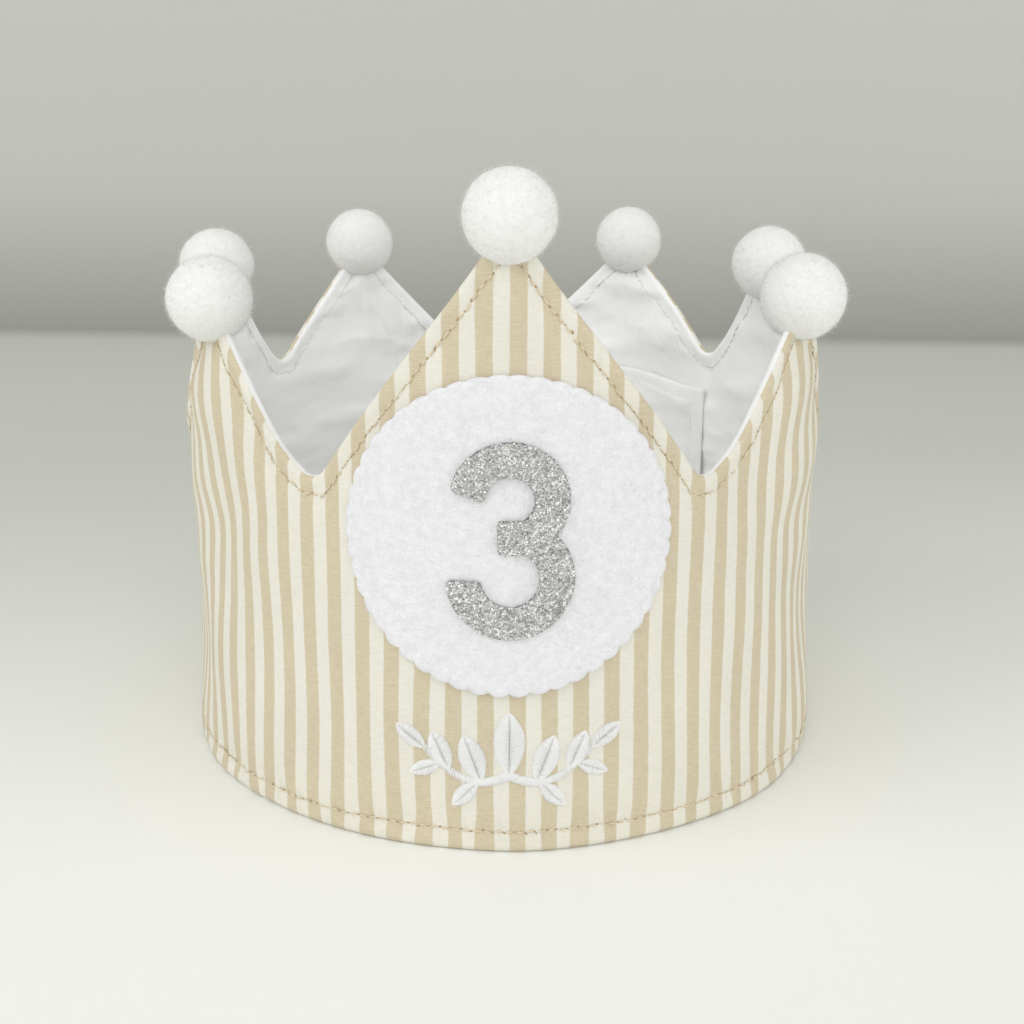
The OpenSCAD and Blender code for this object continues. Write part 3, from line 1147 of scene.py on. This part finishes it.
# %% Make a hair
def hair_template(name, root, tip, parts):
    """A thin three-sided hair along Z, as a mesh and as an array of places from 0 to 1 in height."""
    bm = bmesh.new()
    bmesh.ops.create_cone(bm, cap_ends=False, segments=3, radius1=root, radius2=tip, depth=1)
    sides = [edge for edge in bm.edges if abs(edge.verts[0].co.z - edge.verts[1].co.z) > 0.5]
    bmesh.ops.subdivide_edges(bm, edges=sides, cuts=parts - 1)
    bmesh.ops.translate(bm, verts=bm.verts, vec=(0, 0, 0.5))
    mesh = as_mesh(bm, name)
    return mesh, places_of(mesh.vertices)


def grown_hair(template, root, direction, length, width, bend):
    """Places of a hair that grows from its root and bends over."""
    side = np.cross(direction, bend)
    side = side / (np.linalg.norm(side) + 1e-9)
    other = np.cross(side, direction)
    t = template[:, 2:]
    across = template[:, :1] * width * side + template[:, 1:2] * width * other
    return root + across + t * length * direction + t * t * length * bend


hair_mesh, hair = hair_template("hair_template", 0.5, 0.15, 2)
nap_mesh, _ = hair_template("nap_template", 0.5, 0.15, 2)
for polygon in nap_mesh.polygons:
    polygon.material_index = 1
print("a hair has", len(hair_mesh.polygons), "faces")

# %% Add the felt's fuzz
FELT_HAIRS = 4200
FELT_HAIR_W = 0.06 * MM


def make_felt_fuzz():
    """Short hairs that lie nearly flat on the felt's face and stand out of its edge."""
    rng = np.random.default_rng(33)
    shapes = []
    for index in range(FELT_HAIRS):
        angle = rng.uniform(0, math.tau)
        at_edge = index % 5 == 0
        share = 1.0 if at_edge else math.sqrt(rng.uniform(0, 1))
        distance = share * (disc_reach(angle) - 0.2 * MM)
        s, up = distance * math.cos(angle), distance * math.sin(angle)
        lift = felt_top(s, up) * (rng.uniform(0.1, 0.9) if at_edge else 1.0) - 0.05 * MM
        root = on_felt(np.float64(s), np.float64(up), lift)
        out = facing_out(s / CROWN_R)
        flat = rng.normal(0, 1, 3)
        if at_edge:
            flat = 2.0 * np.array([math.cos(angle), 0, math.sin(angle)]) + 0.7 * flat
        direction = unit(flat - out * flat.dot(out)) + out * rng.uniform(0.05, 0.35)
        length = rng.uniform(0.5, 1.3) * MM * (0.45 if at_edge else 1.0)
        bend = 0.4 * rng.normal(0, 1, 3)
        shapes.append(grown_hair(hair, root, direction, length, FELT_HAIR_W, bend))
    return scatter(bmesh.new(), hair_mesh, shapes)


felt_fuzz = new_piece(make_felt_fuzz(), "felt_fuzz", felt)

# %% [markdown]
# ## The glitter numeral
# The figure is cut from glitter sheet: silver flakes glued in a close layer on a thin backing. The
# CAD shape is right and stays. What makes glitter is that each flake is a tiny mirror at its own
# angle, so a few thousand six-sided flakes are scattered over the CAD face, each tilted on its own.
# Their metal reflects for real, and a painted glint on top makes each flake, and each cell of the
# finer bed under them, lighter or darker.


# %% Finish the numeral's sheet
def make_glitter_sheet():
    """The grey bed of fine flakes between the large ones, with a painted glint from cell to cell."""
    material, tree, shader = new_material("glitter_sheet", 0.42)
    glint_and_tilt = cell_numbers(tree, 2600)
    # Painted glint: each cell of fine flakes is lighter or darker, as if it caught or missed the light.
    paint(tree, shader, calculate(tree, "POWER", glint_and_tilt[0], 1.6), shade(156, 157, 155), shade(228, 229, 227))
    shader.inputs["Metallic"].default_value = 0.7
    add_bump(tree, shader, glint_and_tilt[1], 0.25 * MM, 0.9)
    return material


def make_flake_silver():
    """Bright foil with a painted glint that makes it lighter or darker from flake to flake."""
    material, tree, shader = new_material("flake_silver", 0.32)
    # Painted glint: each large flake is lighter or darker, on top of the reflection from its real tilt.
    paint(tree, shader, cell_numbers(tree, 1500)[0], shade(176, 177, 175), shade(250, 250, 249))
    shader.inputs["Metallic"].default_value = 0.85
    return material


numeral = refinish("numeral", make_glitter_sheet())
print("glitter bed on", len(numeral.data.polygons), "faces of the numeral")

# %% Scatter the flakes
FLAKES = 9000
FLAKE_R = (0.14 * MM, 0.27 * MM)
FLAKE_TILT = 0.34
FLAKE_LIFT = 0.08 * MM


def face_samples(piece, count, rng):
    """Seeded places on the faces of a CAD node that look outwards, spread by area."""
    mesh = piece.data
    mesh.calc_loop_triangles()
    co = places_of(mesh.vertices)
    corners = np.array([tri.vertices for tri in mesh.loop_triangles])
    a, b, c = co[corners[:, 0]], co[corners[:, 1]], co[corners[:, 2]]
    cross = np.cross(b - a, c - a)
    area = np.linalg.norm(cross, axis=1)
    middle = (a + b + c) / 3
    outward = np.stack([middle[:, 0], middle[:, 1], 0 * middle[:, 0]], axis=-1)
    outward = outward / np.linalg.norm(outward, axis=1)[:, None]
    facing = np.sum(cross * outward, axis=1) / np.maximum(area, 1e-12)
    chance = area * (facing >= -0.5)
    picked = rng.choice(len(area), count, p=chance / chance.sum())
    u = np.sqrt(rng.uniform(0, 1, (2, count)))[0][:, None]
    v = rng.uniform(0, 1, (count, 1))
    places = a[picked] * (1 - u) + b[picked] * u * (1 - v) + c[picked] * u * v
    return places, cross[picked] / np.maximum(area[picked], 1e-12)[:, None]


def make_flakes():
    """Small six-sided flakes at their own angles."""
    rng = np.random.default_rng(41)
    places, normals = face_samples(numeral, FLAKES, rng)
    plate = bmesh.new()
    bmesh.ops.create_circle(plate, cap_ends=True, segments=6, radius=1)
    plate_mesh = as_mesh(plate, "flake_template")
    flat = places_of(plate_mesh.vertices)
    shapes = []
    for place, normal in zip(places, normals):
        tilted = unit(normal + rng.normal(0, FLAKE_TILT, 3))
        first = unit(np.cross(tilted, rng.normal(0, 1, 3)))
        second = np.cross(tilted, first)
        size = rng.uniform(*FLAKE_R)
        centre = place + normal * FLAKE_LIFT
        shapes.append(centre + size * (flat[:, :1] * first + flat[:, 1:2] * second))
    return scatter(bmesh.new(), plate_mesh, shapes)


flakes = new_piece(make_flakes(), "numeral_flakes", make_flake_silver())

# %% [markdown]
# ## The pompoms
# A pompom is a ball of cut yarn: thousands of fibre ends that all point out from the middle and are
# trimmed to one dense, velvety surface. A nearly round ball fills the inside, short fine hairs
# make its nap, and a few stray ones stand out further. Every pompom draws its own hairs.


# %% Make the yarn
def make_yarn():
    """White yarn with soft shade between the fibre ends."""
    material, tree, shader = new_material("pompom_yarn", 0.95, 0.2, 0.05)
    tuft = noise(tree, object_place(tree), 900, 3.0, 0.6)
    share = remap(tree, tuft, 0.35, 0.65, 0, 1)
    paint(tree, shader, share, shade(238, 238, 235), shade(244, 244, 242))
    add_bump(tree, shader, tuft, 0.25 * MM, 0.4)
    return material


def make_nap():
    """The fine fibre ends, which let half of the light through."""
    material, tree, shader = new_material("pompom_nap", 0.95, gloss=0.05)
    shader.inputs["Base Color"].default_value = shade(248, 248, 246)
    through = add_node(tree, "ShaderNodeBsdfTranslucent")
    through.inputs["Color"].default_value = shade(248, 248, 246)
    both = add_node(tree, "ShaderNodeMixShader")
    both.inputs[0].default_value = 0.5
    feed(tree, both.inputs[1], shader.outputs[0])
    feed(tree, both.inputs[2], through.outputs[0])
    feed(tree, tree.nodes["Material Output"].inputs["Surface"], both.outputs[0])
    return material


yarn = make_yarn()
nap = make_nap()
print("yarn and its nap finished")

# %% Grow the pompoms
POMPOM_HAIRS = 6400
POMPOM_HAIR_W = 0.045 * MM
STRAY_HAIRS = 60
CORE_SHARE = 0.99
LUMP_SHARE = 0.03


def make_pompom(centre, seed):
    """A lumpy core with a coat of curved hairs."""
    rng = np.random.default_rng(seed)
    lumps = [(rng.normal(0, 1, 3), rng.uniform(0, math.tau)) for _ in range(10)]
    bm = bmesh.new()
    bmesh.ops.create_icosphere(bm, subdivisions=4, radius=1)

    def bulge(way):
        return sum(math.sin(3.2 * way.dot(axis) + phase) for axis, phase in lumps) / len(lumps)

    for vert in bm.verts:
        way = np.array(vert.co)
        share = CORE_SHARE + LUMP_SHARE * bulge(way) + rng.normal(0, 0.003)
        vert.co = centre + way * POMPOM_R * share
    shapes = []
    for index in range(POMPOM_HAIRS):
        way = unit(rng.normal(0, 1, 3))
        lean = rng.normal(0, 0.22, 3)
        stray = 1.7 if index < STRAY_HAIRS else 1.0
        length = POMPOM_R * rng.uniform(0.04, 0.085) * stray
        root = centre + way * POMPOM_R * (CORE_SHARE - 0.012 + LUMP_SHARE * bulge(way))
        bend = 0.35 * rng.normal(0, 1, 3)
        shapes.append(grown_hair(hair, root, way + lean, length, POMPOM_HAIR_W, bend))
    return scatter(bm, nap_mesh, shapes)


for number, (name, centre) in enumerate(zip(POMPOMS, pompom_centres)):
    ball = new_piece(make_pompom(centre, 50 + number), name + "_yarn", yarn)
    ball.data.materials.append(nap)
    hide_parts(name)

# %% [markdown]
# ## The embroidery
# Below the disc the crown carries a line of white satin stitch: threads laid side by side across a
# narrow shape until they cover it and stand up like a smooth cord. Here it is a mirrored leafy
# sprig. Each leaf and stem is a row of strands, and every strand is the stitch template
# again, laid from one edge of the shape to the other.

# %% Draw the sprig on the flat pattern
SPRIG_H = 20.5 * MM
SPRIG_L = 20 * MM
SATIN_STEP = 0.36 * MM
SATIN_W = 0.42 * MM
LEAVES = [  # place along the stem, slant in degrees and length in mm
    (0.32, 72, 12.5),
    (0.36, -50, 8.6),
    (0.7, 30, 10.5),
    (0.8, -66, 8.0),
]
LEAF_WIDTH = 0.48


def stem_point(t):
    """A point of the right-hand stem, from the middle outwards, as along and up."""
    return np.array([SPRIG_L * t, SPRIG_H + 7 * MM * t * t - 3.0 * MM * math.sin(math.pi * t)])


def stem_direction(t):
    """The stem's direction at a point."""
    return unit(stem_point(t + 0.01) - stem_point(t - 0.01))


def leaf(base, direction, length, width):
    """Pairs of points of a pointed leaf, from its vein to either edge and from its base to its tip."""
    across = np.array([-direction[1], direction[0]])
    count = int(length / SATIN_STEP)
    for index in range(count):
        t = (index + 0.5) / count
        half = width / 2 * math.sin(math.pi * t**0.8) ** 0.8 + 0.2 * MM
        vein = base + direction * length * t
        for side in (-1, 1):
            yield vein - 0.12 * MM * side * across, vein + (side * across + 0.45 * direction) * half


def turned(direction, degrees):
    """A direction turned in the flat pattern."""
    c, s = math.cos(math.radians(degrees)), math.sin(math.radians(degrees))
    return np.array([c * direction[0] - s * direction[1], s * direction[0] + c * direction[1]])


def sprig_strands():
    """All strands of the right half of the sprig, as pairs of flat points."""
    count = int(1.1 * SPRIG_L / SATIN_STEP)
    for index in range(count):
        t = index / count
        direction = stem_direction(t)
        across = np.array([-direction[1], direction[0]]) + 0.5 * direction
        half = (1.3 - 0.35 * t) * MM
        yield stem_point(t) - across * half, stem_point(t) + across * half
    for t, slant, length in LEAVES:
        direction = turned(stem_direction(t), slant)
        yield from leaf(stem_point(t), direction, length * MM, LEAF_WIDTH * length * MM)
    yield from leaf(stem_point(1.0) - 0.5 * MM, turned(stem_direction(1.0), -12), 8.8 * MM, 4.6 * MM)


print("half of the sprig has", len(list(sprig_strands())), "strands")


# %% Stitch the sprig
def make_embroidery():
    """The sprig and its mirror image in laid strands, with a bud between them."""
    rng = np.random.default_rng(61)
    pairs = list(sprig_strands())
    pairs += [(a * (-1, 1), b * (-1, 1)) for a, b in pairs]
    pairs += list(leaf(np.array([0, SPRIG_H]), np.array([0.0, 1.0]), 16 * MM, 7.4 * MM))
    shapes = []
    for ends in pairs:
        spots = np.array(ends) + rng.normal(0, 0.04 * MM, (2, 2))
        turns = spots[:, 0] / CROWN_R
        places = on_skin(turns, spots[:, 1], 1, 0.15 * MM)
        length = np.linalg.norm(places[1] - places[0])
        thickness = 0.7 * MM + 0.16 * length
        shapes.append(laid_strand(strand, *places, SATIN_W, thickness, facing_out(turns[0])))
    return scatter(bmesh.new(), strand_mesh, shapes)


satin_thread = make_thread("satin_thread", shade(250, 250, 249), shade(236, 236, 235), 4200, 0.3)
embroidery = new_piece(make_embroidery(), "embroidery", satin_thread)

# %% [markdown]
# ## The stage, the light and the camera
# The crown stands on a plain pale floor in front of a plain grey wall that is set slightly askew, in
# wide soft daylight from above and in front. One strong lamp would draw hard shadows, so five large
# area lamps share the work, and the world fills in the rest. Shade is also painted into the stage: the
# floor darkens from front to back and again just before the wall, and the wall is darker at its foot.
# The camera stands where the photograph was taken from: close, a little above, looking down at
# eighteen degrees.

# %% Build the stage
WALL_Y = 0.556
WALL_TURN = 0.065
STAGE_HALF = 3.0


def make_stage(name, axis, first, shade_fades):
    """A plain matt surface whose colour turns into further colours along an axis, as painted shade."""
    material, tree, shader = new_material(name, 0.85, gloss=0.1)
    split = add_node(tree, "ShaderNodeSeparateXYZ")
    feed(tree, split.inputs[0], object_place(tree))
    colour = first
    for start, stop, slant, further in shade_fades:
        along = calculate(tree, "MULTIPLY_ADD", split.outputs["X"], slant, split.outputs[axis])
        colour = blend_colours(tree, remap(tree, along, start, stop, 0, 1, True), colour, further)
    feed(tree, shader.inputs["Base Color"], colour)
    return material


def stage_plane(name, material, place):
    """A plain square of stage."""
    bm = bmesh.new()
    bmesh.ops.create_grid(bm, x_segments=1, y_segments=1, size=STAGE_HALF)
    place_verts(bm, [place(vert.co) for vert in bm.verts])
    piece = show(as_mesh(bm, name), name, material)
    piece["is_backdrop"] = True
    return piece


# Each fade of painted shade has a start, a stop, a slant to the right and the colour that it ends with.
# Painted shade: the floor darkens from front to back, and again just before the wall.
floor_shade_fades = [
    (-0.14, 0.3, -0.1, shade(208, 209, 202)),
    (WALL_Y - 0.04, WALL_Y, WALL_TURN, shade(181, 182, 176)),
]
# Painted shade: the wall is darker at its foot, where it meets the floor.
wall_shade_fades = [(-0.01, 0.11, 0, shade(205, 206, 200))]
floor_finish = make_stage("floor", "Y", shade(246, 247, 243), floor_shade_fades)
wall_finish = make_stage("wall", "Z", shade(173, 174, 168), wall_shade_fades)
stage_plane("floor", floor_finish, lambda co: (co.x, co.y - 2.2, -0.0002))
stage_plane("wall", wall_finish, lambda co: (co.x, WALL_Y - WALL_TURN * co.x, co.y + 2.9))
print("stage in place")

# %% Light the crown
LAMP_SIZE = 1.0
LAMP_TARGET = (0, 0, 0.08)
LAMPS = {  # place in metres and power in watts
    "key": ((-0.04, -0.95, 1.05), 3.25),
    "front": ((-0.04, -1.3, 0.5), 2.35),
    "left": ((-1.1, -0.5, 0.8), 5.75),
    "right": ((1.2, -0.5, 0.4), 4.45),
    "top": ((0.0, -0.1, 1.3), 1.85),
}


def soft_lamp(name, place, power):
    """A square area lamp that looks at the crown."""
    data = bpy.data.lights.new(name, "AREA")
    data.size = LAMP_SIZE
    data.energy = power
    lamp = bpy.data.objects.new(name, data)
    lamp.location = place
    way = np.array(LAMP_TARGET) - np.array(place)
    lamp.rotation_euler = (
        math.atan2(math.hypot(way[0], way[1]), -way[2]),
        0,
        math.atan2(way[1], way[0]) - math.pi / 2,
    )
    bpy.context.scene.collection.objects.link(lamp)


for name, (place, power) in LAMPS.items():
    soft_lamp(name, place, power)

world = bpy.data.worlds.new("studio")
bpy.context.scene.world = world
world.use_nodes = True
backdrop = world.node_tree.nodes["Background"]
backdrop.inputs["Color"].default_value = (1.0, 1.0, 1.0, 1)
backdrop.inputs["Strength"].default_value = 0.455
bpy.context.scene.view_settings.view_transform = "Standard"
print(len(LAMPS), "lamps and the world")

# %% Place the camera
CAMERA_AWAY = 0.4056
CAMERA_H = 0.1905
CAMERA_DOWN = 18.09
CAMERA_ROUND = math.radians(-0.5)
camera_data = bpy.data.cameras.new("camera")
camera_data.lens = 52.31
camera_data.sensor_width = 36
camera_data.shift_x = 0.00604
camera = bpy.data.objects.new("camera", camera_data)
camera.location = (
    CAMERA_AWAY * math.sin(CAMERA_ROUND),
    -CAMERA_AWAY * math.cos(CAMERA_ROUND),
    CAMERA_H,
)
camera.rotation_euler = (math.radians(90 - CAMERA_DOWN), 0, CAMERA_ROUND)
bpy.context.scene.collection.objects.link(camera)
bpy.context.scene.camera = camera
print("camera", CAMERA_DOWN, "degrees down")

# %% [markdown]
# ## Print the size and finish
# The box of the dressed crown is printed in millimetres.

# %% Write the sizes and finish
low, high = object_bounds()
print("dressed box in mm:", [round((b - a) / MM, 1) for a, b in zip(low, high)])
